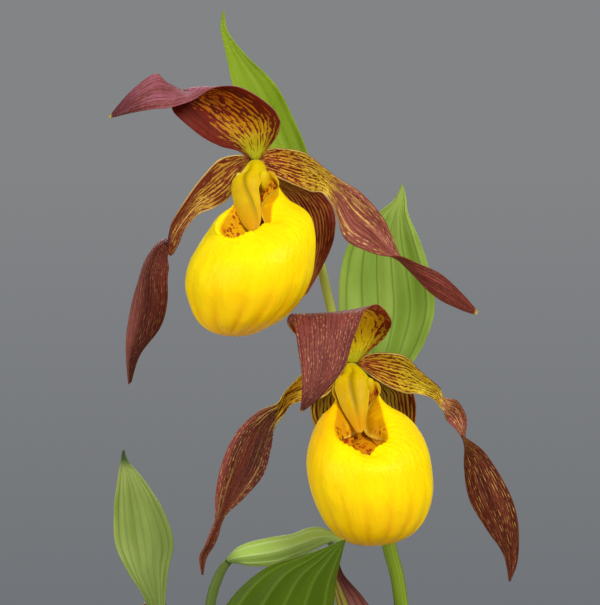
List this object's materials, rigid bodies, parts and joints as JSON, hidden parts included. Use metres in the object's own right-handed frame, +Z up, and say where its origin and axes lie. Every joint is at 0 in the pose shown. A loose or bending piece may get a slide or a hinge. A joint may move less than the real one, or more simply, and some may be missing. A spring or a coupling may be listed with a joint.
{
  "type": "potted cypripedium orchid",
  "caption": "Potted lady's-slipper orchid with pouched yellow flowers, twisted mahogany petals, leafy bracts, clasping pleated leaves and a plain round clay pot.",
  "frame": {"origin": "centre of the pot's flat underside, on the surface it stands on", "axes": "+Z up along the pot's axis; -Y is the side the flowers face; +X to the right when the flowers are seen from the front"},
  "size_m": [0.2268, 0.1795, 0.468],
  "materials": {
    "petal_mahogany": "satin, with ochre net veins towards the base",
    "sepal_purple": "satin, with darker parallel veins",
    "lip_yellow": "smooth, slightly waxy",
    "column_gold": "smooth, slightly waxy",
    "stem_green": "satin, finely downy",
    "leaf_green": "satin, pleated along the veins",
    "bud_green": "satin, striped",
    "sheath_papery": "dry and matt",
    "soil": "crumbly and matt",
    "clay": "unglazed terracotta"
  },
  "bodies": {
    "root": {"dorsal_sepal_a": "sepal_purple", "synsepal_a": "sepal_purple", "petal_left_a": "petal_mahogany", "petal_right_a": "petal_mahogany", "lip_a": "lip_yellow", "column_a": "column_gold", "dorsal_sepal_b": "sepal_purple", "synsepal_b": "sepal_purple", "petal_left_b": "petal_mahogany", "petal_right_b": "petal_mahogany", "lip_b": "lip_yellow", "column_b": "column_gold", "ovary_a": "stem_green", "ovary_b": "stem_green", "bract_a": "leaf_green", "bract_b": "leaf_green", "bract_left": "leaf_green", "bract_nodding": "leaf_green", "bud_left": "bud_green", "bud_nodding": "bud_green", "stem_main": "stem_green", "stem_left": "stem_green", "stem_nodding": "stem_green", "leaf_main_upper": "leaf_green", "leaf_main_middle": "leaf_green", "leaf_main_lower": "leaf_green", "leaf_left_upper": "leaf_green", "leaf_left_lower": "leaf_green", "leaf_nodding_lower": "leaf_green", "leaf_nodding_front": "leaf_green", "sheath_main": "sheath_papery", "sheath_left": "sheath_papery", "sheath_nodding": "sheath_papery", "soil": "soil", "pot": "clay"}
  },
  "joints": []
}
